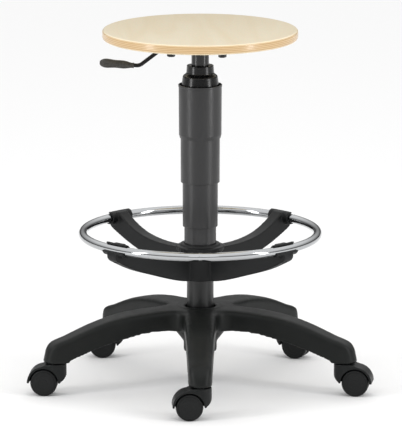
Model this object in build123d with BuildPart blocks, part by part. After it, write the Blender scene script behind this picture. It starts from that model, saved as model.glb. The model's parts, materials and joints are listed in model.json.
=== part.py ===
"""Adjustable swivel stool: round plywood seat on a gas lift with a telescopic cover,
a height-adjustable foot ring, a five-arm base and five twin-wheel castors.

Millimetres, +Z up, origin on the floor on the column's axis, -Y towards the front leg.
"""

import os
from math import cos, radians, sin, tan

from build123d import *

os.makedirs("parts", exist_ok=True)

# ---------------------------------------------------------------- driving dimensions
SEAT_DIAMETER = 360
SEAT_THICKNESS = 18
SEAT_TOP = 668
COLUMN_DIAMETER = 49.7
CYLINDER_DIAMETER = 28
BASE_STEM_CIRCLE = 281      # radius from the column's axis to each castor stem
BASE_LEGS = 5
HUB_TOP = 150.5
LEG_END_BOTTOM = 61
LEG_END_DIAMETER = 43
RING_RADIUS = 217           # to the middle of the tube
RING_TUBE = 16
RING_HEIGHT = 286.5
RING_ARMS = 4
WHEEL_DIAMETER = 50
WHEEL_TRAIL = 20
CASTOR_TOP = 59.6
RUN_FIT = 0.05              # radial clearance of a turning fit

# Direction each castor trails in, degrees about +Z, by the leg's own name.
CASTORS = {
    "front": (-90, 183),
    "right": (-18, -8),
    "rear_right": (54, -22),
    "rear_left": (126, 178),
    "left": (198, 176),
}
PLATE_TURN = -5             # the seat plate sits a little turned on the taper


def save(builder, name):
    """Label a finished piece and write it as its own STEP file."""
    builder.part.label = name
    export_step(builder.part, f"parts/{name}.step")


def turned(points):
    """A closed outline of radius and height pairs, ready to revolve about Z."""
    with BuildSketch(Plane.XZ) as outline:
        with BuildLine():
            Polyline(*points, close=True)
        make_face()
    return outline.sketch


# ================================================================ seat
seat_bottom = SEAT_TOP - SEAT_THICKNESS
EDGE_ROUND_TOP = 4
EDGE_ROUND_BOTTOM = 6
BOLT_SPACING_X = 94
BOLT_SPACING_Y = 146
BOLT_RADIUS = 4
INSERT_RADIUS = 5
INSERT_DEPTH = 12
bolt_places = [
    (x * BOLT_SPACING_X / 2 * cos(radians(PLATE_TURN)) - y * BOLT_SPACING_Y / 2 * sin(radians(PLATE_TURN)),
     x * BOLT_SPACING_X / 2 * sin(radians(PLATE_TURN)) + y * BOLT_SPACING_Y / 2 * cos(radians(PLATE_TURN)))
    for x in (-1, 1) for y in (-1, 1)
]

with BuildPart() as seat_disc:
    with BuildSketch(Plane.XY.offset(seat_bottom)):
        Circle(SEAT_DIAMETER / 2)
    extrude(amount=SEAT_THICKNESS)
    fillet(seat_disc.faces().sort_by(Axis.Z)[-1].edges(), EDGE_ROUND_TOP)
    fillet(seat_disc.faces().sort_by(Axis.Z)[0].edges(), EDGE_ROUND_BOTTOM)
    with BuildSketch(Plane.XY.offset(seat_bottom)):
        with Locations(*bolt_places):
            Circle(INSERT_RADIUS)
    extrude(amount=INSERT_DEPTH, mode=Mode.SUBTRACT)
save(seat_disc, "seat_disc")

# Threaded steel sleeves pressed into the underside of the seat.
with BuildPart() as threaded_inserts:
    with BuildSketch(Plane.XY.offset(seat_bottom)):
        with Locations(*bolt_places):
            Circle(INSERT_RADIUS)
            Circle(BOLT_RADIUS + RUN_FIT, mode=Mode.SUBTRACT)
    extrude(amount=INSERT_DEPTH)
save(threaded_inserts, "threaded_inserts")

# Pressed steel tray, open side up against the seat, with a floor for the socket.
TRAY_WIDTH = 150
TRAY_DEPTH = 170
TRAY_HEIGHT = 14
TRAY_WALL = 2.5
TRAY_CORNER = 22
TRAY_TAPER = 20
tray_bottom = seat_bottom - TRAY_HEIGHT
tray_floor = tray_bottom + TRAY_WALL
SOCKET_RADIUS = 16.15
socket_top = tray_floor - 0.6   # stays below the tray's floor, clear of the lever's sweep
LEVER_LINE_Y = -58          # the outer part of the lever runs at this Y
LEVER_SLOT_LENGTH = 30
LEVER_SLOT_WIDTH = 14

with BuildPart() as seat_plate:
    with BuildSketch(Plane.XY.offset(seat_bottom).rotated((0, 0, PLATE_TURN))):
        RectangleRounded(TRAY_WIDTH, TRAY_DEPTH, TRAY_CORNER)
    extrude(amount=-TRAY_HEIGHT, taper=TRAY_TAPER)
    fillet(seat_plate.faces().sort_by(Axis.Z)[0].edges(), 3)
    with BuildSketch(Plane.XY.offset(seat_bottom).rotated((0, 0, PLATE_TURN))):
        RectangleRounded(TRAY_WIDTH - 2 * TRAY_WALL, TRAY_DEPTH - 2 * TRAY_WALL, TRAY_CORNER - TRAY_WALL)
    extrude(amount=-TRAY_HEIGHT + TRAY_WALL, taper=TRAY_TAPER, mode=Mode.SUBTRACT)
    with BuildSketch(Plane.XY.offset(tray_bottom)):
        Circle(SOCKET_RADIUS + RUN_FIT)
        with Locations(*bolt_places):
            Circle(BOLT_RADIUS + 0.5)
    extrude(amount=TRAY_WALL * 2, mode=Mode.SUBTRACT)
    with BuildSketch(Plane.XY.offset(tray_bottom - 1)):
        with Locations((-75, LEVER_LINE_Y)):
            Rectangle(LEVER_SLOT_LENGTH, LEVER_SLOT_WIDTH)
    extrude(amount=TRAY_HEIGHT - 1, mode=Mode.SUBTRACT)
save(seat_plate, "seat_plate")

WASHER_RADIUS = 8.5
WASHER_THICKNESS = 1.6
HEAD_HEIGHT = 5.3
HEAD_ACROSS_CORNERS = 15
washer_bottom = tray_bottom - WASHER_THICKNESS

with BuildPart() as bolt_washers:
    with BuildSketch(Plane.XY.offset(washer_bottom)):
        with Locations(*bolt_places):
            Circle(WASHER_RADIUS)
            Circle(BOLT_RADIUS + 0.3, mode=Mode.SUBTRACT)
    extrude(amount=WASHER_THICKNESS)
save(bolt_washers, "bolt_washers")

with BuildPart() as seat_bolts:
    with BuildSketch(Plane.XY.offset(washer_bottom)):
        with Locations(*bolt_places):
            RegularPolygon(HEAD_ACROSS_CORNERS / 2, 6)
    extrude(amount=-HEAD_HEIGHT)
    with BuildSketch(Plane.XY.offset(washer_bottom)):
        with Locations(*bolt_places):
            Circle(BOLT_RADIUS)
    extrude(amount=WASHER_THICKNESS + TRAY_HEIGHT + INSERT_DEPTH - 2)
    chamfer(seat_bolts.faces().group_by(Axis.Z)[0].edges(), 0.9)
save(seat_bolts, "seat_bolts")

# ================================================================ gas lift
column_radius = COLUMN_DIAMETER / 2
COLUMN_WALL = 1.5
COLUMN_BOTTOM = 62
COLUMN_TOP = 385
TAPER_TOP = 112             # the column's lower end is tapered below this height
COLUMN_FOOT_RADIUS = 23.8
cylinder_radius = CYLINDER_DIAMETER / 2
CYLINDER_BOTTOM = 330
CYLINDER_TOP = 636
CYLINDER_BORE = 12.5
SOCKET_BOTTOM = 586
TAPER_TIP_RADIUS = 12.9
BUTTON_RADIUS = 3.95
BUTTON_TOP = 641.4
ROD_RADIUS = 5
NECK_RADIUS = 4

with BuildPart() as taper_socket:
    revolve(turned([
        (cylinder_radius + 0.02, SOCKET_BOTTOM), (SOCKET_RADIUS - 0.6, SOCKET_BOTTOM),
        (SOCKET_RADIUS, SOCKET_BOTTOM + 0.8), (SOCKET_RADIUS, socket_top),
        (TAPER_TIP_RADIUS + 0.075, socket_top),
        (TAPER_TIP_RADIUS + 0.02, CYLINDER_TOP),
    ]), axis=Axis.Z)
save(taper_socket, "taper_socket")

with BuildPart() as outer_column:
    revolve(turned([
        (COLUMN_FOOT_RADIUS - COLUMN_WALL, COLUMN_BOTTOM), (COLUMN_FOOT_RADIUS, COLUMN_BOTTOM),
        (column_radius, TAPER_TOP), (column_radius, COLUMN_TOP),
        (column_radius - COLUMN_WALL, COLUMN_TOP), (column_radius - COLUMN_WALL, TAPER_TOP),
    ]), axis=Axis.Z)
save(outer_column, "outer_column")

END_PLATE_THICKNESS = 4
with BuildPart() as column_end_plate:
    with BuildSketch(Plane.XY.offset(COLUMN_BOTTOM)):
        Circle(COLUMN_FOOT_RADIUS - COLUMN_WALL)
        Circle(NECK_RADIUS + RUN_FIT, mode=Mode.SUBTRACT)
    extrude(amount=END_PLATE_THICKNESS)
save(column_end_plate, "column_end_plate")

BUSH_BOTTOM = 305
with BuildPart() as guide_bush:
    with BuildSketch(Plane.XY.offset(BUSH_BOTTOM)):
        Circle(column_radius - COLUMN_WALL)
        Circle(cylinder_radius + RUN_FIT, mode=Mode.SUBTRACT)
    extrude(amount=COLUMN_TOP - BUSH_BOTTOM)
save(guide_bush, "guide_bush")

CYLINDER_CHAMBER_TOP = 575
BUTTON_BORE_BOTTOM = 616
with BuildPart() as gas_cylinder:
    revolve(turned([
        (CYLINDER_BORE, CYLINDER_BOTTOM), (cylinder_radius, CYLINDER_BOTTOM),
        (cylinder_radius, SOCKET_BOTTOM), (TAPER_TIP_RADIUS, CYLINDER_TOP),
        (BUTTON_RADIUS + RUN_FIT, CYLINDER_TOP), (BUTTON_RADIUS + RUN_FIT, BUTTON_BORE_BOTTOM),
        (0, BUTTON_BORE_BOTTOM), (0, CYLINDER_CHAMBER_TOP),
        (CYLINDER_BORE, CYLINDER_CHAMBER_TOP),
    ]), axis=Axis.Z)
save(gas_cylinder, "gas_cylinder")

with BuildPart() as valve_button:
    with BuildSketch(Plane.XY.offset(BUTTON_BORE_BOTTOM + 4.5)):
        Circle(BUTTON_RADIUS)
    extrude(amount=BUTTON_TOP - BUTTON_BORE_BOTTOM - 4.5)
    fillet(valve_button.faces().sort_by(Axis.Z)[-1].edges(), 1)
save(valve_button, "valve_button")

ROD_GUIDE_HEIGHT = 12
with BuildPart() as rod_guide:
    with BuildSketch(Plane.XY.offset(CYLINDER_BOTTOM)):
        Circle(CYLINDER_BORE)
        Circle(ROD_RADIUS + RUN_FIT, mode=Mode.SUBTRACT)
    extrude(amount=ROD_GUIDE_HEIGHT)
save(rod_guide, "rod_guide")

# The rod's neck hangs in the end plate; the bearing carries the load just above it.
BEARING_BOTTOM = COLUMN_BOTTOM + END_PLATE_THICKNESS
BEARING_HEIGHT = 6
BUFFER_HEIGHT = 12
CLIP_THICKNESS = 1.5
PISTON_BOTTOM = CYLINDER_BOTTOM + ROD_GUIDE_HEIGHT + 3
PISTON_HEIGHT = 12
clip_top = COLUMN_BOTTOM - 0.3
with BuildPart() as piston_rod:
    with BuildSketch(Plane.XY.offset(clip_top - CLIP_THICKNESS - 1.5)):
        Circle(NECK_RADIUS)
    extrude(amount=BEARING_BOTTOM + BEARING_HEIGHT + 0.3 - clip_top + CLIP_THICKNESS + 1.5)
    with BuildSketch(Plane.XY.offset(BEARING_BOTTOM + BEARING_HEIGHT + 0.3)):
        Circle(ROD_RADIUS)
    extrude(amount=PISTON_BOTTOM - BEARING_BOTTOM - BEARING_HEIGHT - 0.3)
    with BuildSketch(Plane.XY.offset(PISTON_BOTTOM)):
        Circle(NECK_RADIUS)
    extrude(amount=PISTON_HEIGHT)
save(piston_rod, "piston_rod")

with BuildPart() as retaining_clip:
    with BuildSketch(Plane.XY.offset(clip_top - CLIP_THICKNESS)):
        Circle(NECK_RADIUS + 4)
        Circle(NECK_RADIUS, mode=Mode.SUBTRACT)
        with Locations((0, -NECK_RADIUS - 2)):
            Rectangle(NECK_RADIUS * 1.2, 6, mode=Mode.SUBTRACT)
    extrude(amount=CLIP_THICKNESS)
save(retaining_clip, "retaining_clip")

with BuildPart() as piston:
    with BuildSketch(Plane.XY.offset(PISTON_BOTTOM)):
        Circle(CYLINDER_BORE - RUN_FIT)
        Circle(NECK_RADIUS, mode=Mode.SUBTRACT)
    extrude(amount=PISTON_HEIGHT)
    with BuildSketch(Plane.XY.offset(PISTON_BOTTOM + PISTON_HEIGHT / 2 - 1)):
        Circle(CYLINDER_BORE + 1)
        Circle(CYLINDER_BORE - 1.5, mode=Mode.SUBTRACT)
    extrude(amount=2, mode=Mode.SUBTRACT)
save(piston, "piston")

with BuildPart() as thrust_bearing:
    with BuildSketch(Plane.XY.offset(BEARING_BOTTOM)):
        Circle(13)
        Circle(NECK_RADIUS + RUN_FIT, mode=Mode.SUBTRACT)
    extrude(amount=BEARING_HEIGHT)
    fillet(thrust_bearing.edges().filter_by(GeomType.CIRCLE).sort_by(SortBy.RADIUS)[-2:], 1)
save(thrust_bearing, "thrust_bearing")

buffer_bottom = BEARING_BOTTOM + BEARING_HEIGHT + 0.6
with BuildPart() as rubber_buffer:
    with BuildSketch(Plane.XY.offset(buffer_bottom)):
        Circle(12)
        Circle(ROD_RADIUS, mode=Mode.SUBTRACT)
    extrude(amount=BUFFER_HEIGHT)
    fillet(rubber_buffer.edges().filter_by(GeomType.CIRCLE).sort_by(SortBy.RADIUS)[-2:], 2)
save(rubber_buffer, "rubber_buffer")

# ================================================================ telescopic cover
# Each tube hangs by a flange at its top on a lip at the bottom of the tube round it.
CAP_TOP = 601.5
TUBE_A_TOP = 565.7
TUBE_A_BOTTOM = 466
TUBE_B_BOTTOM = 383
TUBE_C_BOTTOM = 300
SLEEVE_BOTTOM = 248
TUBE_WALL = 1.6
LIP_HEIGHT = 3
FLANGE_HEIGHT = 2.5
FLANGE_GAP = 0.4


def cover_tube(bottom, top, radius_bottom, radius_top, flange_radius, lip_radius):
    """A tube with a slight draft, a hanging flange at its top and a lip at its foot."""
    with BuildPart() as tube:
        revolve(turned([
            (lip_radius, bottom), (radius_bottom - 0.4, bottom), (radius_bottom, bottom + 0.6),
            (radius_top, top - FLANGE_HEIGHT), (flange_radius, top - FLANGE_HEIGHT),
            (flange_radius, top), (radius_top - TUBE_WALL, top),
            (radius_bottom - TUBE_WALL, bottom + LIP_HEIGHT), (lip_radius, bottom + LIP_HEIGHT),
        ]), axis=Axis.Z)
    return tube


with BuildPart() as cover_cap:
    neck_foot = CAP_TOP - 13
    shoulder = CAP_TOP - 22.5
    skirt_foot = CAP_TOP - 43
    with BuildSketch(Plane.XZ):
        with BuildLine():
            Polyline((SOCKET_RADIUS + 0.1, CAP_TOP - 2), (SOCKET_RADIUS + 0.1, CAP_TOP), (23.6, CAP_TOP))
            RadiusArc((23.6, CAP_TOP), (24.6, CAP_TOP - 1), 1)
            Line((24.6, CAP_TOP - 1), (25.6, neck_foot))
            Spline((25.6, neck_foot), (27.6, neck_foot - 3.4), (31.2, shoulder + 3.1), (32.4, shoulder),
                   tangents=[(0.08, -1), (0.08, -1)])
            Polyline((32.4, shoulder), (34.2, skirt_foot + 7.8), (34.2, skirt_foot + 3),
                     (37.6, skirt_foot + 3), (37.6, skirt_foot), (32.6, skirt_foot),
                     (32.6, skirt_foot + 7.6), (30.9, shoulder - 0.5), (29.8, shoulder + 1.9))
            Spline((29.8, shoulder + 1.9), (26.4, neck_foot - 4.6), (24.0, neck_foot),
                   tangents=[(-1, 0.6), (-0.08, 1)])
            Polyline((24.0, neck_foot), (23.1, CAP_TOP - 2), (SOCKET_RADIUS + 0.1, CAP_TOP - 2))
        make_face()
    revolve(axis=Axis.Z)
save(cover_cap, "cover_cap")

with BuildPart() as cover_tube_upper:
    revolve(turned([
        (36.6, TUBE_A_BOTTOM), (37.6, TUBE_A_BOTTOM), (39.3, TUBE_A_BOTTOM + 6.5),
        (39.8, TUBE_A_TOP - 4.2), (40.4, TUBE_A_TOP - 3.6), (40.4, TUBE_A_TOP - 0.6),
        (39.8, TUBE_A_TOP), (38.6, TUBE_A_TOP), (38.0, TUBE_A_TOP - 3),
        (38.0, TUBE_A_BOTTOM + LIP_HEIGHT), (36.6, TUBE_A_BOTTOM + LIP_HEIGHT),
    ]), axis=Axis.Z)
save(cover_tube_upper, "cover_tube_upper")

tube_b_top = TUBE_A_BOTTOM + LIP_HEIGHT + FLANGE_GAP + FLANGE_HEIGHT
cover_tube_middle = cover_tube(TUBE_B_BOTTOM, tube_b_top, 36.0, 36.3, 37.7, 33.0)
save(cover_tube_middle, "cover_tube_middle")

tube_c_top = TUBE_B_BOTTOM + LIP_HEIGHT + FLANGE_GAP + FLANGE_HEIGHT
cover_tube_lower = cover_tube(TUBE_C_BOTTOM, tube_c_top, 32.4, 32.7, 34.0, 29.8)
save(cover_tube_lower, "cover_tube_lower")

sleeve_top = TUBE_C_BOTTOM + LIP_HEIGHT + FLANGE_GAP + FLANGE_HEIGHT
cover_sleeve = cover_tube(SLEEVE_BOTTOM, sleeve_top, 29.4, 29.4, 30.5, column_radius)
save(cover_sleeve, "cover_sleeve")

# ================================================================ release lever
LEVER_RADIUS = 3.6
PIVOT_X = -45
PIVOT_Z = 643.4
pivot_y = -44
PIN_RADIUS = 1.5
EAR_GAP = 18
EAR_THICKNESS = 2
EAR_LENGTH = 8
lever_route = [
    (4, 0, 645.4),
    (PIVOT_X, -45, PIVOT_Z),
    (-68, LEVER_LINE_Y, PIVOT_Z),
    (-111, LEVER_LINE_Y, 610.4),
    (-150, LEVER_LINE_Y, 613.4),
]
with BuildPart() as lever_rod:
    with BuildLine() as route:
        FilletPolyline(*lever_route, radius=[14, 12, 16])
    with BuildSketch(Plane(origin=route.line @ 0, z_dir=route.line % 0)):
        Circle(LEVER_RADIUS)
    sweep(path=route.line)
    with BuildSketch(Plane.XZ.offset(-pivot_y)):
        with Locations((PIVOT_X, PIVOT_Z)):
            Circle(PIN_RADIUS)
    extrude(amount=EAR_GAP, both=True, mode=Mode.SUBTRACT)
save(lever_rod, "lever_rod")

# U-bracket on the tray floor with two ears, and the pin through ears and rod.
with BuildPart() as lever_bracket:
    with BuildSketch(Plane.XY.offset(tray_floor)):
        with Locations((PIVOT_X, pivot_y)):
            Rectangle(EAR_LENGTH, EAR_GAP + 2 * EAR_THICKNESS)
    extrude(amount=PIVOT_Z + PIN_RADIUS + 2 - tray_floor)
    with BuildSketch(Plane.XY.offset(tray_floor)):
        with Locations((PIVOT_X, pivot_y)):
            Rectangle(EAR_LENGTH, EAR_GAP)
    extrude(amount=PIVOT_Z + PIN_RADIUS + 2 - tray_floor, mode=Mode.SUBTRACT)
    with BuildSketch(Plane.XZ.offset(-pivot_y)):
        with Locations((PIVOT_X, PIVOT_Z)):
            Circle(PIN_RADIUS + RUN_FIT)
    extrude(amount=EAR_GAP, both=True, mode=Mode.SUBTRACT)
save(lever_bracket, "lever_bracket")

with BuildPart() as lever_pin:
    with BuildSketch(Plane.XZ.offset(-pivot_y)):
        with Locations((PIVOT_X, PIVOT_Z)):
            Circle(PIN_RADIUS)
    extrude(amount=EAR_GAP / 2 + EAR_THICKNESS + 0.8, both=True)
save(lever_pin, "lever_pin")

# Moulded grip: oval sections along the rod's last straight, thickest near the outer end.
GRIP_INNER_X = -121
GRIP_LENGTH = 63
GRIP_RISE = 4.4             # degrees that the grip rises outwards
GRIP_MIDDLE_Z = 611.2       # height of the rod's line at the grip's inner end
grip_sections = [           # distance from the inner end, half width, half height, drop
    (0, 6.2, 5.6, 0.4), (12, 7.2, 6.3, 0.3), (30, 9.5, 7.2, 0), (46, 11, 8.2, 0), (56, 10.2, 7.6, 0),
    (61, 7.0, 5.0, 0), (GRIP_LENGTH, 3.2, 2.2, 0),
]
with BuildPart() as lever_grip:
    for distance, half_width, half_height, drop in grip_sections:
        x = GRIP_INNER_X - distance * cos(radians(GRIP_RISE))
        z = GRIP_MIDDLE_Z + distance * sin(radians(GRIP_RISE)) - drop
        outwards = (-1, 0, tan(radians(GRIP_RISE)))
        with BuildSketch(Plane((x, LEVER_LINE_Y, z), x_dir=(0, 1, 0), z_dir=outwards)):
            Ellipse(half_width, half_height)
    loft()
    add(lever_rod.part, mode=Mode.SUBTRACT)
save(lever_grip, "lever_grip")

# ================================================================ foot ring
ring_tube_radius = RING_TUBE / 2
RING_WALL = 1.5
SADDLE_RADIUS = 12
SADDLE_SPAN = 14            # degrees of ring that each saddle covers
ARM_WIDTH = 24
ARM_BLEND_RADIUS = 26       # in plan, where neighbouring arms meet
SPIDER_HEIGHT = 110
HUB_BOTTOM = 202
HUB_HEIGHT_TOP = 255
HUB_RADIUS = 40
SPIDER_BORE = 30.2
THREAD_RADIUS = 34
THREAD_BOTTOM = 235
SCREW_RADIUS = 2
SCREW_HEAD_RADIUS = 4
SCREW_HEAD_SEAT = 268       # the screws' heads bear here, up inside each saddle
SCREW_HEAD_HEIGHT = 3

with BuildPart() as foot_ring_tube:
    with BuildSketch(Plane.XZ):
        with Locations((RING_RADIUS, RING_HEIGHT)):
            Circle(ring_tube_radius)
            Circle(ring_tube_radius - RING_WALL, mode=Mode.SUBTRACT)
    revolve(axis=Axis.Z)
    with BuildSketch(Plane.XY.offset(RING_HEIGHT - ring_tube_radius - 1)):
        with PolarLocations(RING_RADIUS, RING_ARMS, 45):
            Circle(SCREW_RADIUS)
    extrude(amount=RING_WALL + 2, mode=Mode.SUBTRACT)
save(foot_ring_tube, "foot_ring_tube")

# Four deep blades: one curved outline turned about the axis, kept where the arms lie.
with BuildSketch(Plane.XZ) as blade_section:
    with BuildLine():
        Line((0, HUB_BOTTOM), (36, HUB_BOTTOM))
        Spline((36, HUB_BOTTOM), (62, 206), (115, 222), (175, 242.5), (222, 265),
               tangents=[(1, 0.06), (1, 0.52)])
        Spline((222, 265), (228, 271), (229.5, 279), tangents=[(1, 0.52), (0.02, 1)])
        Polyline((229.5, 279), (RING_RADIUS, RING_HEIGHT), (209, 298), (205, 297.5))
        Spline((205, 297.5), (188, 284.5), (150, 265.5), (117, 258), (75, HUB_HEIGHT_TOP),
               tangents=[(-0.75, -0.66), (-1, -0.02)])
        Polyline((75, HUB_HEIGHT_TOP), (0, HUB_HEIGHT_TOP), (0, HUB_BOTTOM))
    make_face()

with BuildPart() as ring_spider:
    revolve(blade_section.sketch, axis=Axis.Z)
    with BuildSketch(Plane.XY.offset(HUB_BOTTOM - 1)) as arm_plan:
        for arm_angle in (45, 135):
            with Locations(Location((0, 0, 0), (0, 0, arm_angle))):
                Rectangle(2 * RING_RADIUS + 40, ARM_WIDTH)
        fillet(arm_plan.vertices().group_by(lambda v: round(v.X ** 2 + v.Y ** 2))[0], ARM_BLEND_RADIUS)
        Circle(HUB_RADIUS)
    extrude(amount=SPIDER_HEIGHT, mode=Mode.INTERSECT)
    for arm_angle in (45, 135, 225, 315):
        saddle_plane = Plane.XZ.rotated((0, 0, arm_angle - SADDLE_SPAN / 2))
        with BuildSketch(saddle_plane) as saddle_section:
            with Locations((RING_RADIUS, RING_HEIGHT)):
                Circle(SADDLE_RADIUS)
        revolve(saddle_section.sketch, axis=Axis.Z, revolution_arc=SADDLE_SPAN)
    # The tube's own channel, open on its outer side where the tube shows.
    with BuildSketch(Plane.XZ) as channel_section:
        with Locations((RING_RADIUS, RING_HEIGHT)):
            Circle(ring_tube_radius + 0.03)
    revolve(channel_section.sketch, axis=Axis.Z, mode=Mode.SUBTRACT)
    revolve(turned([
        (RING_RADIUS, RING_HEIGHT), (RING_RADIUS + 2, RING_HEIGHT + 16),
        (RING_RADIUS + 20, RING_HEIGHT + 16), (RING_RADIUS + 20, RING_HEIGHT - 5),
    ]), axis=Axis.Z, mode=Mode.SUBTRACT)
    revolve(turned([
        (0, HUB_BOTTOM - 5), (column_radius + 0.6, HUB_BOTTOM - 5), (column_radius + 0.6, HUB_BOTTOM + 4),
        (27.5, HUB_BOTTOM + 4), (SPIDER_BORE, THREAD_BOTTOM), (THREAD_RADIUS, THREAD_BOTTOM),
        (THREAD_RADIUS, HUB_HEIGHT_TOP + 5), (0, HUB_HEIGHT_TOP + 5),
    ]), axis=Axis.Z, mode=Mode.SUBTRACT)
    with BuildSketch(Plane.XY.offset(HUB_BOTTOM)):
        with PolarLocations(RING_RADIUS, RING_ARMS, 45):
            Circle(SCREW_RADIUS + 0.1)
    extrude(amount=RING_HEIGHT - HUB_BOTTOM, mode=Mode.SUBTRACT)
    with BuildSketch(Plane.XY.offset(HUB_BOTTOM)):
        with PolarLocations(RING_RADIUS, RING_ARMS, 45):
            Circle(SCREW_HEAD_RADIUS + 0.5)
    extrude(amount=SCREW_HEAD_SEAT - HUB_BOTTOM, mode=Mode.SUBTRACT)
save(ring_spider, "ring_spider")

with BuildPart() as ring_screws:
    with BuildSketch(Plane.XY.offset(SCREW_HEAD_SEAT - SCREW_HEAD_HEIGHT)):
        with PolarLocations(RING_RADIUS, RING_ARMS, 45):
            Circle(SCREW_HEAD_RADIUS)
    extrude(amount=SCREW_HEAD_HEIGHT)
    with BuildSketch(Plane.XY.offset(SCREW_HEAD_SEAT)):
        with PolarLocations(RING_RADIUS, RING_ARMS, 45):
            Circle(SCREW_RADIUS)
    extrude(amount=14)
save(ring_screws, "ring_screws")

# Split sleeve that the nut squeezes on to the column.
COLLET_SLOTS = 4
with BuildPart() as clamp_collet:
    revolve(turned([
        (column_radius + RUN_FIT, HUB_BOTTOM + 4.5), (27.1, HUB_BOTTOM + 4.5),
        (29.5, THREAD_BOTTOM - 1), (29.5, SLEEVE_BOTTOM - 4), (column_radius + RUN_FIT, SLEEVE_BOTTOM - 4),
    ]), axis=Axis.Z)
    with BuildSketch(Plane.XY.offset(HUB_BOTTOM + 12)):
        with PolarLocations(27, COLLET_SLOTS):
            Rectangle(12, 1.6)
    extrude(amount=SLEEVE_BOTTOM - HUB_BOTTOM, mode=Mode.SUBTRACT)
save(clamp_collet, "clamp_collet")

# Flanged hand nut: a ribbed rim, a raised boss round the sleeve, a neck in the hub.
RIM_RIBS = 36
with BuildPart() as collar_nut:
    nut_bottom = THREAD_BOTTOM + 9.4
    flange_bottom = HUB_HEIGHT_TOP + 0.3
    boss_top = HUB_HEIGHT_TOP + 13
    thread = THREAD_RADIUS - RUN_FIT
    with BuildSketch(Plane.XZ):
        with BuildLine():
            Polyline((SPIDER_BORE - 0.2, nut_bottom), (thread, nut_bottom), (thread, flange_bottom),
                     (43.6, flange_bottom), (44.7, flange_bottom + 1.1), (44.7, boss_top - 6.4))
            RadiusArc((44.7, boss_top - 6.4), (42.5, boss_top - 4.2), -2.2)
            Polyline((42.5, boss_top - 4.2), (38.4, boss_top - 3.4), (36.6, boss_top - 0.8))
            RadiusArc((36.6, boss_top - 0.8), (35.2, boss_top), -1.6)
            Polyline((35.2, boss_top), (SPIDER_BORE - 0.2, boss_top), (SPIDER_BORE - 0.2, nut_bottom))
        make_face()
    revolve(axis=Axis.Z)
    with BuildSketch(Plane.XY.offset(HUB_HEIGHT_TOP)):
        with PolarLocations(45.3, RIM_RIBS):
            Circle(1.3)
    extrude(amount=10, mode=Mode.SUBTRACT)
save(collar_nut, "collar_nut")

# ================================================================ five-arm base
leg_end_radius = LEG_END_DIAMETER / 2
HUB_RIM_RADIUS = 43.5       # a round rim stands this step above the legs
HUB_RIM_STEP = 1.2
HUB_RIM_BOTTOM = 115
HUB_BORE = 28.5
BASE_HUB_BOTTOM = 64
HUB_FOOT_RADIUS = 31
HUB_RING_RADIUS = 27.5
HUB_RING_TOP = 106
STEM_RADIUS = 5.5
STEM_DEPTH = 36
LEG_ROOT_WIDTH = 66
LEG_BLEND_RADIUS = 22
LEG_WALL = 4
PLAN_DEPTH = 140            # the plan is cut this deep, past the base's whole height
RIB_RADII = (96, 142, 188, 234)
RIB_THICKNESS = 3
HOLLOW_START = 56
HOLLOW_END = 266


def leg_side(inset):
    """Radial outline of the base; inset lowers its top for the hollow underneath."""
    outer_end = BASE_STEM_CIRCLE + leg_end_radius
    inner_end = BASE_STEM_CIRCLE - leg_end_radius
    with BuildSketch(Plane.XZ) as outline:
        with BuildLine():
            Spline((0, HUB_TOP - inset), (100, 148.5 - inset), (182, 136.5 - inset), (258, 109 - inset),
                   tangents=[(1, 0), (1, -0.42)])
            Spline((258, 109 - inset), (outer_end - 12, 95.5 - inset), (outer_end - 2.2, 78 - inset),
                   (outer_end, LEG_END_BOTTOM), tangents=[(1, -0.42), (0.02, -1)])
            Polyline((outer_end, LEG_END_BOTTOM), (inner_end, LEG_END_BOTTOM), (inner_end, 65.5))
            Spline((inner_end, 65.5), (218, 81.5), (149, 101.5), (104, 109.5),
                   tangents=[(-1, 0.32), (-1, 0.05)])
            Polyline((104, 109.5), (52, 110), (HUB_FOOT_RADIUS - 1, 82), (0, 82), (0, HUB_TOP - inset))
        make_face()
    return outline.sketch


def star_plan(inset):
    """Plan outline of all the legs, each narrowing to the round end that holds a stem."""
    root_half = LEG_ROOT_WIDTH / 2 - inset
    end_half = leg_end_radius - inset
    with BuildSketch(Plane.XY) as leg_outline:
        with BuildLine():
            Polyline((BASE_STEM_CIRCLE, end_half), (0, root_half),
                     (0, -root_half), (BASE_STEM_CIRCLE, -end_half))
            ThreePointArc((BASE_STEM_CIRCLE, -end_half), (BASE_STEM_CIRCLE + end_half, 0),
                          (BASE_STEM_CIRCLE, end_half))
        make_face()
    with BuildSketch(Plane.XY.offset(BASE_HUB_BOTTOM - 20)) as outline:
        for leg_angle in leg_angles:
            add(leg_outline.sketch, rotation=leg_angle)
    return outline.sketch


leg_angles = [leg_angle for leg_angle, trail_angle in CASTORS.values()]

# The hollow that opens downwards between the hub and the stem sockets, with its ribs.
with BuildPart() as leg_hollow:
    revolve(leg_side(LEG_WALL + HUB_RIM_STEP), axis=Axis.Z)
    extrude(star_plan(LEG_WALL), amount=PLAN_DEPTH, mode=Mode.INTERSECT)
    with BuildSketch(Plane.XY):
        Circle(HOLLOW_END)
        Circle(HOLLOW_START, mode=Mode.SUBTRACT)
        for rib_radius in RIB_RADII:
            with BuildSketch(mode=Mode.PRIVATE) as rib:
                Circle(rib_radius + RIB_THICKNESS / 2)
                Circle(rib_radius - RIB_THICKNESS / 2, mode=Mode.SUBTRACT)
            add(rib.sketch, mode=Mode.SUBTRACT)
    extrude(amount=HUB_TOP, mode=Mode.INTERSECT)

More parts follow.
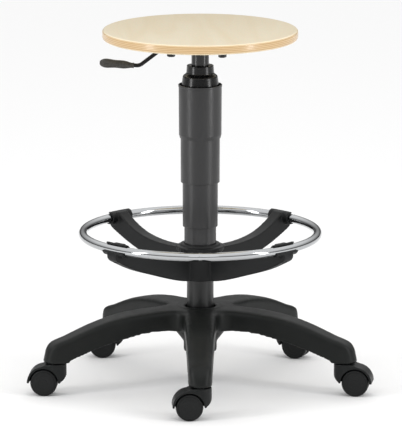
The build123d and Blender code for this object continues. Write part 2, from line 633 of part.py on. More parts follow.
with BuildPart() as star_base:
    revolve(leg_side(HUB_RIM_STEP), axis=Axis.Z)
    with BuildSketch(Plane.XY.offset(BASE_HUB_BOTTOM - 20)) as blended_plan:
        add(star_plan(0).faces())
        fillet(blended_plan.vertices().filter_by(lambda v: v.X ** 2 + v.Y ** 2 < 80 ** 2), LEG_BLEND_RADIUS)
    extrude(amount=PLAN_DEPTH, mode=Mode.INTERSECT)
    with BuildSketch(Plane.XY.offset(BASE_HUB_BOTTOM)):
        Circle(HUB_FOOT_RADIUS)
    extrude(amount=HUB_TOP - BASE_HUB_BOTTOM)
    with BuildSketch(Plane.XY.offset(HUB_RIM_BOTTOM)):
        Circle(HUB_RIM_RADIUS)
    extrude(amount=HUB_TOP - HUB_RIM_BOTTOM)
    add(leg_hollow.part, mode=Mode.SUBTRACT)
    revolve(turned([
        (0, BASE_HUB_BOTTOM - 1), (HUB_RING_RADIUS, BASE_HUB_BOTTOM - 1), (HUB_RING_RADIUS, HUB_RING_TOP),
        (HUB_BORE, HUB_RING_TOP), (HUB_BORE, HUB_TOP + 1), (0, HUB_TOP + 1),
    ]), axis=Axis.Z, mode=Mode.SUBTRACT)
    with BuildSketch(Plane.XY.offset(LEG_END_BOTTOM - 1)):
        with PolarLocations(BASE_STEM_CIRCLE, BASE_LEGS, -90):
            Circle(STEM_RADIUS)
    extrude(amount=STEM_DEPTH + 1, mode=Mode.SUBTRACT)
save(star_base, "star_base")

with BuildPart() as hub_ring:
    revolve(turned([
        (COLUMN_FOOT_RADIUS + 0.05, BASE_HUB_BOTTOM), (HUB_RING_RADIUS, BASE_HUB_BOTTOM),
        (HUB_RING_RADIUS, HUB_RING_TOP), (column_radius - 0.07, HUB_RING_TOP),
    ]), axis=Axis.Z)
save(hub_ring, "hub_ring")

# ================================================================ castors
# Drawn with the stem on the Z axis and the wheels trailing towards +X.
wheel_radius = WHEEL_DIAMETER / 2
HOOD_OUTER = 31
HOOD_INNER = 27
HOOD_HALF = 20.5
HOOD_BACK = 21
HOOD_ROUND = 5
WEB_HALF = 3
WHEEL_INNER_Y = 3.5
WHEEL_OUTER_Y = 21
AXLE_RADIUS = 4
AXLE_HALF = 17
STEM_COLLAR_RADIUS = 9
STEM_COLLAR_BOTTOM = CASTOR_TOP + 0.2
STEM_IN_HOOD = 15
GRIP_RING_HEIGHT = 26
axle_place = (WHEEL_TRAIL, wheel_radius)

with BuildPart() as hood_outer:
    with BuildSketch(Plane.XZ):
        with Locations(axle_place):
            Circle(HOOD_OUTER)
        with BuildLine():
            Polyline((WHEEL_TRAIL, wheel_radius), (WHEEL_TRAIL + 6, CASTOR_TOP - 4.6),
                     (WHEEL_TRAIL - 4, CASTOR_TOP), (-HOOD_BACK, CASTOR_TOP), (-HOOD_BACK, 41))
            Spline((-HOOD_BACK, 41), (-16.5, 30.5), (-7, 24.5), tangents=[(0, -1), (1, -0.4)])
            Line((-7, 24.5), (WHEEL_TRAIL, wheel_radius))
        make_face()
        with Locations((WHEEL_TRAIL, wheel_radius - HOOD_OUTER)):
            Rectangle(2 * HOOD_OUTER + 2, 2 * HOOD_OUTER - 1, mode=Mode.SUBTRACT)
    extrude(amount=HOOD_BACK, both=True)
    with BuildSketch():
        Circle(HOOD_BACK)
        with Locations(((WHEEL_TRAIL + HOOD_OUTER) / 2, 0)):
            Rectangle(WHEEL_TRAIL + HOOD_OUTER, 2 * HOOD_HALF)
    extrude(amount=CASTOR_TOP, mode=Mode.INTERSECT)
    fillet(hood_outer.faces().sort_by(Axis.Y)[0].edges().group_by(Axis.Z)[-1], HOOD_ROUND)
    fillet(hood_outer.faces().sort_by(Axis.Y)[-1].edges().group_by(Axis.Z)[-1], HOOD_ROUND)

with BuildPart() as hood:
    add(hood_outer.part)
    for side in (-1, 1):
        with BuildSketch(Plane.XZ.offset(side * WEB_HALF)):
            with Locations(axle_place):
                Circle(HOOD_INNER)
        extrude(amount=side * 30, mode=Mode.SUBTRACT)
    with BuildSketch(Plane.XZ):
        with Locations(axle_place):
            Circle(AXLE_RADIUS + 5)
    extrude(amount=WEB_HALF, both=True)
    with BuildSketch(Plane.XZ):
        with Locations(axle_place):
            Circle(AXLE_RADIUS)
    extrude(amount=WEB_HALF + 1, both=True, mode=Mode.SUBTRACT)
    with BuildSketch(Plane.XY.offset(CASTOR_TOP - STEM_IN_HOOD)):
        Circle(STEM_RADIUS + RUN_FIT)
    extrude(amount=STEM_IN_HOOD + 1, mode=Mode.SUBTRACT)

with BuildPart() as stem:
    with BuildSketch(Plane.XY.offset(CASTOR_TOP - STEM_IN_HOOD + 0.3)):
        Circle(STEM_RADIUS)
    extrude(amount=STEM_IN_HOOD - 0.3 + LEG_END_BOTTOM - CASTOR_TOP + STEM_DEPTH - 2)
    with BuildSketch(Plane.XY.offset(STEM_COLLAR_BOTTOM)):
        Circle(STEM_COLLAR_RADIUS)
    extrude(amount=LEG_END_BOTTOM - STEM_COLLAR_BOTTOM)
    with BuildSketch(Plane.XY.offset(LEG_END_BOTTOM + GRIP_RING_HEIGHT)):
        Circle(STEM_RADIUS + 1)
        Circle(STEM_RADIUS - 0.8, mode=Mode.SUBTRACT)
    extrude(amount=3, mode=Mode.SUBTRACT)
    chamfer(stem.faces().sort_by(Axis.Z)[-1].edges(), 1.2)

with BuildPart() as axle:
    with BuildSketch(Plane.XZ):
        with Locations(axle_place):
            Circle(AXLE_RADIUS)
    extrude(amount=AXLE_HALF, both=True)
    chamfer(axle.edges().filter_by(GeomType.CIRCLE), 0.5)

# Dished wheel, drawn about Z and then turned to face +Y; its bore is blind.
with BuildPart() as wheel_about_z:
    with BuildSketch(Plane.XZ):
        with BuildLine():
            Polyline((AXLE_RADIUS + RUN_FIT, AXLE_HALF + 0.4), (AXLE_RADIUS + RUN_FIT, WHEEL_INNER_Y),
                     (8, WHEEL_INNER_Y), (8.6, WHEEL_INNER_Y + 3), (20.5, WHEEL_INNER_Y + 3),
                     (21, WHEEL_INNER_Y + 0.6), (wheel_radius - 1.6, WHEEL_INNER_Y + 0.6))
            RadiusArc((wheel_radius - 1.6, WHEEL_INNER_Y + 0.6), (wheel_radius, WHEEL_INNER_Y + 2.2), -1.6)
            Line((wheel_radius, WHEEL_INNER_Y + 2.2), (wheel_radius, WHEEL_OUTER_Y - 5))
            RadiusArc((wheel_radius, WHEEL_OUTER_Y - 5), (wheel_radius - 3, WHEEL_OUTER_Y - 1.6), -3.6)
            Polyline((wheel_radius - 3, WHEEL_OUTER_Y - 1.6), (wheel_radius - 4, WHEEL_OUTER_Y - 1.5))
            Spline((wheel_radius - 4, WHEEL_OUTER_Y - 1.5), (12, WHEEL_OUTER_Y - 0.4), (0, WHEEL_OUTER_Y),
                   tangents=[(-1, 0.04), (-1, 0)])
            Polyline((0, WHEEL_OUTER_Y), (0, AXLE_HALF + 0.4), (AXLE_RADIUS + RUN_FIT, AXLE_HALF + 0.4))
        make_face()
    revolve(axis=Axis.Z)

wheel_turns = {"wheel_left": -90, "wheel_right": 90}
for castor_name, (leg_angle, trail_angle) in CASTORS.items():
    stem_x = BASE_STEM_CIRCLE * cos(radians(leg_angle))
    stem_y = BASE_STEM_CIRCLE * sin(radians(leg_angle))
    castor_place = Location((stem_x, stem_y, 0), (0, 0, trail_angle))
    for piece_name, piece in {"stem": stem, "hood": hood, "axle": axle}.items():
        with BuildPart() as placed:
            with Locations(castor_place):
                add(piece.part)
        save(placed, f"castor_{castor_name}_{piece_name}")
    for piece_name, turn in wheel_turns.items():
        with BuildPart() as placed:
            with Locations(castor_place):
                with Locations(Location((WHEEL_TRAIL, 0, wheel_radius), (turn, 0, 0))):
                    add(wheel_about_z.part)
        save(placed, f"castor_{castor_name}_{piece_name}")
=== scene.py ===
import json
from math import cos, hypot, pi, radians, sin

import bmesh
import bpy
from mathutils import Matrix, Vector


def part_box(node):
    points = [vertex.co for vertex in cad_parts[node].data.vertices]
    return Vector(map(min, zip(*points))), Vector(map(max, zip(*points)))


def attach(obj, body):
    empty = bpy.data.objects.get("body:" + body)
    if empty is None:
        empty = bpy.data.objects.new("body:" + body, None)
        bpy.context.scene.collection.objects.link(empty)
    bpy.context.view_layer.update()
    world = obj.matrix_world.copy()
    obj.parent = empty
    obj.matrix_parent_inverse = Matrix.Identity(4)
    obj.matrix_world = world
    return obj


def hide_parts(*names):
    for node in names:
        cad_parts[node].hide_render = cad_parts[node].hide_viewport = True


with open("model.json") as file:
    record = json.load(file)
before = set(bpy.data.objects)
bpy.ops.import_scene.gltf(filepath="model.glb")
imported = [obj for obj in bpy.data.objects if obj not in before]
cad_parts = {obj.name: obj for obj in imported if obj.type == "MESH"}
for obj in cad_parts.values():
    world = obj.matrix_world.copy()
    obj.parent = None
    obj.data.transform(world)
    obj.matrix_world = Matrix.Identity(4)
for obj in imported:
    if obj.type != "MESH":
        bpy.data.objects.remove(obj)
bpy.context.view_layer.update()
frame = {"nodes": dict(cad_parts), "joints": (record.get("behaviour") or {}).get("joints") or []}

scene = bpy.context.scene

# ================================================================ setting
# A pale studio floor, two tall soft panels at the sides, one overhead and one high in
# front, and a long lens a little over two metres up that looks down on the seat.
CAMERA_BACK = 10.0
CAMERA_HEIGHT = 2.3551
CAMERA_DOWN = 11.534        # degrees below level
LENS = 455.78               # millimetres
SENSOR_WIDTH = 36
AXIS_OFFSET = 0.0018        # lens shift, so that the column stands just left of the middle
NEAREST = 0.5               # metres from the lens
FARTHEST = 60
FLOOR_RADIUS = 30

camera = bpy.data.objects.new("camera", bpy.data.cameras.new("camera"))
scene.collection.objects.link(camera)
camera.location = (0, -CAMERA_BACK, CAMERA_HEIGHT)
camera.rotation_euler = (radians(90 - CAMERA_DOWN), 0, 0)
camera.data.lens = LENS
camera.data.sensor_width = SENSOR_WIDTH
camera.data.shift_x = AXIS_OFFSET
camera.data.clip_start = NEAREST
camera.data.clip_end = FARTHEST
scene.camera = camera
scene.view_settings.view_transform = "Standard"


def paint(red, green, blue):
    """A paint colour given as it is mixed on a screen, 0 to 255, in linear light."""
    shares = [channel / 255 for channel in (red, green, blue)]
    return [s / 12.92 if s <= 0.04045 else ((s + 0.055) / 1.055) ** 2.4 for s in shares] + [1.0]


def new_finish(name, colour, roughness, metallic=0.0):
    """A material with its shader's own sockets set; returns it with its nodes and a linker."""
    material = bpy.data.materials.new(name)
    material.use_nodes = True
    nodes = material.node_tree.nodes
    shader = nodes["Principled BSDF"]
    shader.inputs["Base Color"].default_value = colour
    shader.inputs["Roughness"].default_value = roughness
    shader.inputs["Metallic"].default_value = metallic
    material.diffuse_color = colour
    return material, nodes, material.node_tree.links.new, shader


floor_mesh = bmesh.new()
bmesh.ops.create_circle(floor_mesh, cap_ends=True, radius=FLOOR_RADIUS, segments=96)
floor_data = bpy.data.meshes.new("studio_floor")
floor_mesh.to_mesh(floor_data)
floor_mesh.free()
floor = bpy.data.objects.new("studio_floor", floor_data)
scene.collection.objects.link(floor)
floor_finish, _, _, _ = new_finish("studio_floor", (0.9, 0.9, 0.9, 1), 0.9)
floor_data.materials.append(floor_finish)

# The room is bright overhead and dark towards the horizon, which chrome and lacquer show.
ROOM_STRENGTH = 1.16
world = bpy.data.worlds.new("studio")
world.use_nodes = True
world_nodes = world.node_tree.nodes
world_link = world.node_tree.links.new
sky_direction = world_nodes.new("ShaderNodeTexCoord")
sky_parts = world_nodes.new("ShaderNodeSeparateXYZ")
sky_tones = world_nodes.new("ShaderNodeValToRGB")
sky_tones.color_ramp.elements[0].position = 0.08
sky_tones.color_ramp.elements[0].color = (0.05, 0.05, 0.05, 1)
sky_tones.color_ramp.elements[1].position = 0.55
sky_tones.color_ramp.elements[1].color = (1, 1, 1, 1)
world_link(sky_direction.outputs["Generated"], sky_parts.inputs["Vector"])
world_link(sky_parts.outputs["Z"], sky_tones.inputs["Fac"])
world_link(sky_tones.outputs["Color"], world_nodes["Background"].inputs["Color"])
world_nodes["Background"].inputs["Strength"].default_value = ROOM_STRENGTH
scene.world = world

panel_target = Vector((0, 0, 0.35))
for panel_name, place, width, height, watts in (
    ("left_panel", (-2.6, -1.5, 1.1), 0.42, 2.6, 36),
    ("right_panel", (2.6, -1.5, 1.1), 0.42, 2.6, 36),
    ("top_panel", (0, -0.2, 3.4), 3.4, 3.4, 4),
    ("front_panel", (0.3, -5.0, 2.9), 2.6, 1.4, 10),
):
    panel = bpy.data.lights.new(panel_name, "AREA")
    panel.shape = "RECTANGLE"
    panel.size = width
    panel.size_y = height
    panel.energy = watts
    light = bpy.data.objects.new(panel_name, panel)
    light.location = place
    light.rotation_euler = (panel_target - light.location).to_track_quat("-Z", "Y").to_euler()
    scene.collection.objects.link(light)

# ================================================================ five-arm base
# One moulding in glass-filled nylon with a fine spark-eroded grain; its arms blend into
# each other and every edge is rounded. A turned rim stands proud of the hub's top.
NYLON_DARK = paint(15, 17, 16)
NYLON_LIGHT = paint(24, 26, 25)
BASE_VOXEL = 0.0026
BASE_ROUNDING = 6           # relaxing passes
CROWN_PASSES = 28
CROWN_START = 0.047         # metres from the column's axis
CROWN_LOWEST = 0.068
CROWN_UNDERCUT = -0.15      # how far over a leg's side a normal may turn and still be softened
RIM_RADIUS = 0.0435
RIM_BORE = 0.0286
RIM_DEPTH = 0.007
RIM_STEPS = 96
MERGE_DISTANCE = 1e-6


def grained(name, dark, light, roughness, grain_per_metre, grain_depth, tint_per_metre=35, shine=0.2):
    """Moulded plastic or coated steel: close tones, a fine grain and slightly uneven gloss."""
    material, nodes, link, shader = new_finish(name, dark, roughness)
    shader.inputs["Specular IOR Level"].default_value = shine
    place = nodes.new("ShaderNodeTexCoord")
    cloud = nodes.new("ShaderNodeTexNoise")
    cloud.inputs["Scale"].default_value = tint_per_metre
    cloud.inputs["Detail"].default_value = 5
    tones = nodes.new("ShaderNodeMix")
    tones.data_type = "RGBA"
    tones.inputs["A"].default_value = dark
    tones.inputs["B"].default_value = light
    gloss = nodes.new("ShaderNodeMapRange")
    gloss.inputs["From Min"].default_value = 0.3
    gloss.inputs["From Max"].default_value = 0.7
    gloss.inputs["To Min"].default_value = roughness - 0.05
    gloss.inputs["To Max"].default_value = roughness + 0.06
    grain = nodes.new("ShaderNodeTexNoise")
    grain.inputs["Scale"].default_value = grain_per_metre
    grain.inputs["Detail"].default_value = 2
    bump = nodes.new("ShaderNodeBump")
    bump.inputs["Strength"].default_value = 0.35
    bump.inputs["Distance"].default_value = grain_depth
    link(place.outputs["Object"], cloud.inputs["Vector"])
    link(place.outputs["Object"], grain.inputs["Vector"])
    link(cloud.outputs["Fac"], tones.inputs["Factor"])
    link(tones.outputs["Result"], shader.inputs["Base Color"])
    link(cloud.outputs["Fac"], gloss.inputs["Value"])
    link(gloss.outputs["Result"], shader.inputs["Roughness"])
    link(grain.outputs["Fac"], bump.inputs["Height"])
    link(bump.outputs["Normal"], shader.inputs["Normal"])
    return material


def add_piece(name, mesh_data, material, body, replaced=()):
    """Puts a finished mesh on its body, in the finish and the slot that it belongs to."""
    piece = bpy.data.objects.new(name, mesh_data)
    scene.collection.objects.link(piece)
    mesh_data.materials.clear()
    mesh_data.materials.append(material)
    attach(piece, body)
    if replaced:
        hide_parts(*replaced)


def moulded_copy(node, voxel, passes):
    """A node's shape with the rounded edges of a moulding: merged, remeshed and relaxed."""
    bm = bmesh.new()
    bm.from_mesh(frame["nodes"][node].data)
    bmesh.ops.remove_doubles(bm, verts=bm.verts, dist=MERGE_DISTANCE)
    rough = bpy.data.meshes.new(node + "_rough")
    bm.to_mesh(rough)
    bm.free()
    shape = bpy.data.objects.new(node + "_shape", rough)
    scene.collection.objects.link(shape)
    remesh = shape.modifiers.new("remesh", "REMESH")
    remesh.mode = "VOXEL"
    remesh.voxel_size = voxel
    relax = shape.modifiers.new("relax", "SMOOTH")
    relax.factor = 0.5
    relax.iterations = passes
    evaluated = shape.evaluated_get(bpy.context.evaluated_depsgraph_get())
    finished = bpy.data.meshes.new_from_object(evaluated)
    bpy.data.objects.remove(shape)
    bpy.data.meshes.remove(rough)
    finished.shade_smooth()
    return finished


def soften(mesh_data, passes, picked):
    """Rounds a moulding over further where picked says so, as a crowned top or a broad edge."""
    bm = bmesh.new()
    bm.from_mesh(mesh_data)
    loose = [vert for vert in bm.verts if picked(vert)]
    for _ in range(passes):
        bmesh.ops.smooth_vert(bm, verts=loose, factor=0.5,
                              use_axis_x=True, use_axis_y=True, use_axis_z=True)
    bm.to_mesh(mesh_data)
    bm.free()
    mesh_data.shade_smooth()


def spun(outline, steps, closed=True):
    """A turned mesh: an outline of radius and height pairs, spun once about the Z axis."""
    bm = bmesh.new()
    corners = [bm.verts.new((radius, 0, height)) for radius, height in outline]
    ends = corners[1:] + corners[:1] if closed else corners[1:]
    sides = [bm.edges.new(pair) for pair in zip(corners, ends)]
    bmesh.ops.spin(bm, geom=corners + sides, cent=(0, 0, 0), axis=(0, 0, 1),
                   angle=2 * pi, steps=steps, use_merge=True)
    bmesh.ops.remove_doubles(bm, verts=bm.verts, dist=MERGE_DISTANCE)
    bmesh.ops.recalc_face_normals(bm, faces=bm.faces)
    return bm


def smooth_mesh(bm, name, sharp_angle=32):
    """Turns a bmesh into a smooth-shaded mesh that keeps its sharp edges."""
    mesh_data = bpy.data.meshes.new(name)
    bm.to_mesh(mesh_data)
    bm.free()
    mesh_data.shade_smooth()
    mesh_data.set_sharp_from_angle(angle=radians(sharp_angle))
    return mesh_data


def is_leg_crown(vert):
    """On top or on the upper edge of a leg, clear of the hub's rim and the castor stems."""
    radius = hypot(vert.co.x, vert.co.y)
    return radius > CROWN_START and vert.co.z > CROWN_LOWEST and vert.normal.z > CROWN_UNDERCUT


base_nylon = grained("base_nylon", NYLON_DARK, NYLON_LIGHT, 0.42, 1500, 0.00012)
base_mesh = moulded_copy("star_base", BASE_VOXEL, BASE_ROUNDING)
soften(base_mesh, CROWN_PASSES, is_leg_crown)
add_piece("base_moulding", base_mesh, base_nylon, "base", ["star_base"])

rim_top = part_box("star_base")[1].z
rim = spun([
    (RIM_BORE, rim_top - RIM_DEPTH), (RIM_RADIUS - 0.0004, rim_top - RIM_DEPTH),
    (RIM_RADIUS, rim_top - 0.0018), (RIM_RADIUS - 0.0005, rim_top - 0.0006),
    (RIM_RADIUS - 0.0016, rim_top), (0.0325, rim_top),
    (0.0302, rim_top - 0.0009), (RIM_BORE, rim_top - 0.003),
], RIM_STEPS)
add_piece("hub_rim", smooth_mesh(rim, "hub_rim", 50), base_nylon, "base")

# ================================================================ castors
# Hooded twin-wheel castors. The hood is a nylon moulding; each wheel is turned with a
# rounded tread, a dark gap inside the rim and a shallow dished disc with two fine rings.
HOOD_VOXEL = 0.0009
HOOD_ROUNDING = 4
WHEEL_STEPS = 96
AXLE_BORE = 0.0041
BORE_END = 0.0174           # the bore is blind, and the disc covers its outer end
WHEEL_OUTLINE = (           # radius and distance out from the castor's middle
    (AXLE_BORE, 0.0036), (0.0080, 0.0036), (0.0086, 0.0062), (0.0198, 0.0062), (0.0206, 0.0044),
    (0.0234, 0.0042), (0.0243, 0.0046), (0.0248, 0.0053), (0.0250, 0.0064), (0.0250, 0.0150),
    (0.0247, 0.0166), (0.0240, 0.0180), (0.0228, 0.0190), (0.0219, 0.0193), (0.0213, 0.0188),
    (0.0207, 0.0188), (0.0201, 0.0196), (0.0150, 0.0202), (0.0146, 0.0200), (0.0142, 0.0204),
    (0.0080, 0.0207), (0.0076, 0.0205), (0.0072, 0.0208), (0.0, 0.0210),
)
CASTOR_NAMES = ("front", "right", "rear_right", "rear_left", "left")

hood_nylon = grained("hood_nylon", paint(15, 17, 17), paint(24, 26, 26), 0.4, 1700, 0.0001)
wheel_nylon = grained("wheel_nylon", paint(20, 21, 21), paint(28, 29, 29), 0.46, 2400, 0.00006)
joint_by_name = {joint["name"]: joint for joint in frame["joints"]}
for castor in CASTOR_NAMES:
    hood_node = f"castor_{castor}_hood"
    hood_mesh = moulded_copy(hood_node, HOOD_VOXEL, HOOD_ROUNDING)
    add_piece(f"hood_{castor}", hood_mesh, hood_nylon, f"castor_{castor}", [hood_node])
    for side in ("left", "right"):
        wheel_node = f"castor_{castor}_wheel_{side}"
        roll = joint_by_name[f"castor_{castor}_{side}_roll"]
        low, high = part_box(wheel_node)
        outwards = Vector(roll["axis"])
        if outwards.dot((low + high) / 2 - Vector(roll["pos_m"])) < 0:
            outwards.negate()
        wheel = spun(((AXLE_BORE, BORE_END), *WHEEL_OUTLINE, (0.0, BORE_END)), WHEEL_STEPS)
        turn = outwards.to_track_quat("Z", "X").to_matrix().to_4x4()
        bmesh.ops.transform(wheel, matrix=Matrix.Translation(roll["pos_m"]) @ turn, verts=wheel.verts)
        add_piece(f"wheel_{castor}_{side}", smooth_mesh(wheel, wheel_node), wheel_nylon,
                  f"castor_{castor}_{side}", [wheel_node])

# ================================================================ foot ring
# Bright chromed steel tube, rolled into a hoop and closed by one butt weld at the front,
# which shows as a low bead round the tube.
CHROME = (0.47, 0.48, 0.49, 1)
TUBE_STEPS = 36
HOOP_STEPS = 220

ring_low, ring_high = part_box("foot_ring_tube")
tube_radius = (ring_high.z - ring_low.z) / 2
hoop_radius = ring_high.x - tube_radius
ring_height = (ring_high.z + ring_low.z) / 2

chrome, chrome_nodes, chrome_link, chrome_shader = new_finish("chrome", CHROME, 0.07, 1.0)
chrome_place = chrome_nodes.new("ShaderNodeTexCoord")
chrome_haze = chrome_nodes.new("ShaderNodeTexNoise")
chrome_haze.inputs["Scale"].default_value = 60
chrome_haze.inputs["Detail"].default_value = 6
chrome_gloss = chrome_nodes.new("ShaderNodeMapRange")
chrome_gloss.inputs["To Min"].default_value = 0.04
chrome_gloss.inputs["To Max"].default_value = 0.12
chrome_link(chrome_place.outputs["Object"], chrome_haze.inputs["Vector"])
chrome_link(chrome_haze.outputs["Fac"], chrome_gloss.inputs["Value"])
chrome_link(chrome_gloss.outputs["Result"], chrome_shader.inputs["Roughness"])

tube_outline = [
    (hoop_radius + tube_radius * cos(2 * pi * step / TUBE_STEPS),
     ring_height + tube_radius * sin(2 * pi * step / TUBE_STEPS))
    for step in range(TUBE_STEPS)
]
hoop = spun(tube_outline, HOOP_STEPS)
add_piece("chrome_hoop", smooth_mesh(hoop, "chrome_hoop"), chrome,
          "foot_ring", ["foot_ring_tube"])

WELD_WIDTH = 0.0022
WELD_PROUD = 0.00035
bead = spun([
    (tube_radius - 0.0006, -WELD_WIDTH), (tube_radius + 0.0001, -WELD_WIDTH),
    (tube_radius + WELD_PROUD * 0.8, -WELD_WIDTH / 2), (tube_radius + WELD_PROUD, 0),
    (tube_radius + WELD_PROUD * 0.8, WELD_WIDTH / 2), (tube_radius + 0.0001, WELD_WIDTH),
    (tube_radius - 0.0006, WELD_WIDTH),
], TUBE_STEPS)
bead_place = Matrix.Translation((0, -hoop_radius, ring_height)) @ Matrix.Rotation(pi / 2, 4, "Y")
bmesh.ops.transform(bead, matrix=bead_place, verts=bead.verts)
add_piece("ring_weld", smooth_mesh(bead, "ring_weld", 60), chrome, "foot_ring")

# ================================================================ ring spider
# Four deep curved blades with saddles that half wrap the hoop, moulded in one with their
# hub in nylon. Screws come up into the tube from below each saddle.
SPIDER_VOXEL = 0.0014
SPIDER_ROUNDING = 5
spider_nylon = grained("spider_nylon", paint(18, 19, 19), paint(29, 30, 31), 0.42, 1400, 0.00014)
spider_mesh = moulded_copy("ring_spider", SPIDER_VOXEL, SPIDER_ROUNDING)
add_piece("spider_moulding", spider_mesh, spider_nylon, "foot_ring", ["ring_spider"])


def dress(material, *node_names):
    """Gives CAD nodes whose shape is right their real finish."""
    for node_name in node_names:
        for material_slot in frame["nodes"][node_name].material_slots:
            material_slot.material = material


dress(spider_nylon, "collar_nut", "clamp_collet")

# ================================================================ gas lift
# A drawn steel column in satin black paint, and inside it the gas cylinder, whose taper
# fits the socket under the seat. The parts that run on each other are steel and acetal.
column_paint = grained("column_paint", paint(17, 18, 18), paint(25, 26, 26), 0.3, 900, 0.00005, shine=0.45)
socket_paint = grained("socket_paint", paint(9, 9, 10), paint(16, 16, 17), 0.2, 700, 0.00004, shine=0.5)
acetal = grained("acetal", paint(205, 203, 195), paint(216, 214, 207), 0.4, 1200, 0.00003)
buffer_rubber = grained("buffer_rubber", paint(27, 27, 27), paint(36, 36, 36), 0.75, 2200, 0.00015)
dress(column_paint, "outer_column")
dress(socket_paint, "taper_socket", "gas_cylinder")
dress(acetal, "guide_bush", "rod_guide", "valve_button", "piston")
dress(buffer_rubber, "rubber_buffer")

# Zinc-plated steel for the inner parts that hold, bear or fasten.
zinc, zinc_nodes, zinc_link, zinc_shader = new_finish("zinc_plate", (0.50, 0.51, 0.53, 1), 0.34, 1.0)
zinc_place = zinc_nodes.new("ShaderNodeTexCoord")
zinc_spangle = zinc_nodes.new("ShaderNodeTexVoronoi")
zinc_spangle.inputs["Scale"].default_value = 420
zinc_tones = zinc_nodes.new("ShaderNodeMix")
zinc_tones.data_type = "RGBA"
zinc_tones.inputs["A"].default_value = (0.44, 0.45, 0.47, 1)
zinc_tones.inputs["B"].default_value = (0.56, 0.57, 0.58, 1)
zinc_gloss = zinc_nodes.new("ShaderNodeMapRange")
zinc_gloss.inputs["To Min"].default_value = 0.26
zinc_gloss.inputs["To Max"].default_value = 0.44
zinc_link(zinc_place.outputs["Object"], zinc_spangle.inputs["Vector"])
zinc_link(zinc_spangle.outputs["Color"], zinc_tones.inputs["Factor"])
zinc_link(zinc_tones.outputs["Result"], zinc_shader.inputs["Base Color"])
zinc_link(zinc_spangle.outputs["Distance"], zinc_gloss.inputs["Value"])
zinc_link(zinc_gloss.outputs["Result"], zinc_shader.inputs["Roughness"])
dress(zinc, "hub_ring", "column_end_plate", "thrust_bearing", "piston_rod", "retaining_clip",
      "ring_screws", "threaded_inserts", "lever_pin")
for castor in CASTOR_NAMES:
    dress(zinc, f"castor_{castor}_stem", f"castor_{castor}_axle")

# ================================================================ telescopic cover
# Four tubes of satin black plastic that slide into each other as the seat goes down, under
# a glossier moulded cap that is pushed on to the gas lift's taper socket.
cover_plastic = grained("cover_plastic", paint(27, 27, 28), paint(34, 34, 35),
                        0.34, 1900, 0.00006, shine=0.55)
cap_plastic = grained("cap_plastic", paint(12, 12, 13), paint(18, 18, 19), 0.25, 1900, 0.00004, shine=0.45)
dress(cover_plastic, "cover_tube_upper", "cover_tube_middle", "cover_tube_lower", "cover_sleeve")
dress(cap_plastic, "cover_cap")

# ================================================================ seat plate
# A pressed steel tray in black powder coat, bolted up to inserts in the seat. The bolts
# and washers are blacked, and the bent lever rod turns on a pin between two ears.
powder_coat = grained("powder_coat", paint(14, 14, 15), paint(22, 22, 23), 0.45, 1100, 0.0002)
dress(powder_coat, "seat_plate", "lever_bracket", "lever_rod")
dress(socket_paint, "seat_bolts", "bolt_washers")

# ================================================================ lever grip
# An oval plastic grip moulded on to the rod's end, thicker towards its outer end, with a
# coarse pebbled grain all over it.
GRIP_VOXEL = 0.0007
GRIP_ROUNDING = 4
grip_plastic = grained("grip_plastic", paint(22, 22, 22), paint(84, 82, 78), 0.5, 420, 0.0009, 330)
grip_mesh = moulded_copy("lever_grip", GRIP_VOXEL, GRIP_ROUNDING)
add_piece("grip_moulding", grip_mesh, grip_plastic, "lever", ["lever_grip"])

# ================================================================ seat
# A round of birch plywood, its edges rounded over by a cutter and clear lacquered. Rotary-cut
# face veneers show a faint flame figure, and the plies show as fine lines round the edge.
SEAT_STEPS = 192
EDGE_STEPS = 14
EDGE_ROUND_TOP = 0.004
EDGE_ROUND_BOTTOM = 0.006
PLY = 0.0015                # thickness of one ply

seat_low, seat_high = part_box("seat_disc")
seat_radius = seat_high.x
seat_outline = [(0, seat_low.z)]
for edge_height, edge_round, first in (
    (seat_low.z + EDGE_ROUND_BOTTOM, EDGE_ROUND_BOTTOM, -90),
    (seat_high.z - EDGE_ROUND_TOP, EDGE_ROUND_TOP, 0),
):
    for step in range(EDGE_STEPS + 1):
        turn = radians(first + 90 * step / EDGE_STEPS)
        seat_outline.append((seat_radius - edge_round + edge_round * cos(turn),
                             edge_height + edge_round * sin(turn)))
seat_outline.append((0, seat_high.z))
seat_round = spun(seat_outline, SEAT_STEPS, closed=False)

wood, wood_nodes, wood_link, wood_shader = new_finish("birch_plywood", paint(228, 208, 172), 0.3)
wood_shader.inputs["Coat Weight"].default_value = 0.35
wood_shader.inputs["Coat Roughness"].default_value = 0.16
wood_place = wood_nodes.new("ShaderNodeTexCoord")
# The grain runs at a slant across the seat, and the pattern is drawn out along it.
grain_space = wood_nodes.new("ShaderNodeMapping")
grain_space.inputs["Scale"].default_value = (1.0, 0.16, 1.0)
grain_space.inputs["Rotation"].default_value = (0, 0, radians(24))
flame = wood_nodes.new("ShaderNodeTexNoise")
flame.inputs["Scale"].default_value = 22
flame.inputs["Detail"].default_value = 6
flame.inputs["Distortion"].default_value = 1.1
fibre = wood_nodes.new("ShaderNodeTexNoise")
fibre.inputs["Scale"].default_value = 420
fibre.inputs["Detail"].default_value = 3
face_tones = wood_nodes.new("ShaderNodeMix")
face_tones.data_type = "RGBA"
face_tones.inputs["A"].default_value = paint(249, 238, 210)
face_tones.inputs["B"].default_value = paint(240, 219, 178)
fibre_tones = wood_nodes.new("ShaderNodeMix")
fibre_tones.data_type = "RGBA"
fibre_tones.blend_type = "MULTIPLY"
fibre_tones.inputs["Factor"].default_value = 0.16
wood_link(wood_place.outputs["Object"], grain_space.inputs["Vector"])
wood_link(grain_space.outputs["Vector"], flame.inputs["Vector"])
wood_link(grain_space.outputs["Vector"], fibre.inputs["Vector"])
wood_link(flame.outputs["Fac"], face_tones.inputs["Factor"])
wood_link(face_tones.outputs["Result"], fibre_tones.inputs["A"])
wood_link(fibre.outputs["Color"], fibre_tones.inputs["B"])
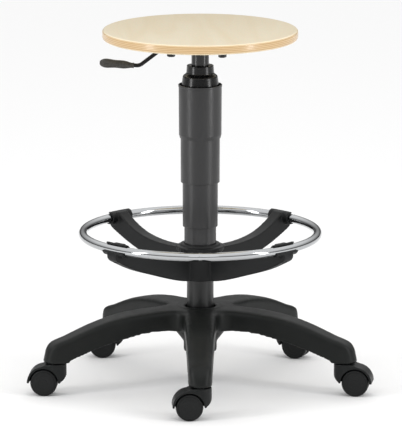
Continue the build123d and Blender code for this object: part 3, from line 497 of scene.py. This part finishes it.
# Height within the stack of plies picks long-grain and end-grain layers in turn.
height = wood_nodes.new("ShaderNodeSeparateXYZ")
ply_wave = wood_nodes.new("ShaderNodeMath")
ply_wave.operation = "MULTIPLY"
ply_wave.inputs[1].default_value = pi / PLY
ply_sine = wood_nodes.new("ShaderNodeMath")
ply_sine.operation = "SINE"
ply_band = wood_nodes.new("ShaderNodeMapRange")
ply_band.inputs["From Min"].default_value = -0.35
ply_band.inputs["From Max"].default_value = 0.35
ply_tones = wood_nodes.new("ShaderNodeMix")
ply_tones.data_type = "RGBA"
ply_tones.inputs["A"].default_value = paint(212, 184, 140)
ply_tones.inputs["B"].default_value = paint(184, 148, 101)
wood_link(wood_place.outputs["Object"], height.inputs["Vector"])
wood_link(height.outputs["Z"], ply_wave.inputs[0])
wood_link(ply_wave.outputs["Value"], ply_sine.inputs[0])
wood_link(ply_sine.outputs["Value"], ply_band.inputs["Value"])
wood_link(ply_band.outputs["Result"], ply_tones.inputs["Factor"])
# The face veneer shows where the surface lies flat, and the plies where it turns over.
facing = wood_nodes.new("ShaderNodeNewGeometry")
facing_parts = wood_nodes.new("ShaderNodeSeparateXYZ")
flatness = wood_nodes.new("ShaderNodeMath")
flatness.operation = "ABSOLUTE"
edge_share = wood_nodes.new("ShaderNodeMapRange")
edge_share.inputs["From Min"].default_value = 0.72
edge_share.inputs["From Max"].default_value = 0.50
surface_tones = wood_nodes.new("ShaderNodeMix")
surface_tones.data_type = "RGBA"
wood_link(facing.outputs["True Normal"], facing_parts.inputs["Vector"])
wood_link(facing_parts.outputs["Z"], flatness.inputs[0])
wood_link(flatness.outputs["Value"], edge_share.inputs["Value"])
wood_link(edge_share.outputs["Result"], surface_tones.inputs["Factor"])
wood_link(fibre_tones.outputs["Result"], surface_tones.inputs["A"])
wood_link(ply_tones.outputs["Result"], surface_tones.inputs["B"])
wood_link(surface_tones.outputs["Result"], wood_shader.inputs["Base Color"])
wood_bump = wood_nodes.new("ShaderNodeBump")
wood_bump.inputs["Strength"].default_value = 0.12
wood_bump.inputs["Distance"].default_value = 0.0001
wood_link(fibre.outputs["Fac"], wood_bump.inputs["Height"])
wood_link(wood_bump.outputs["Normal"], wood_shader.inputs["Normal"])
add_piece("plywood_round", smooth_mesh(seat_round, "plywood_round", 60), wood,
          "seat", ["seat_disc"])
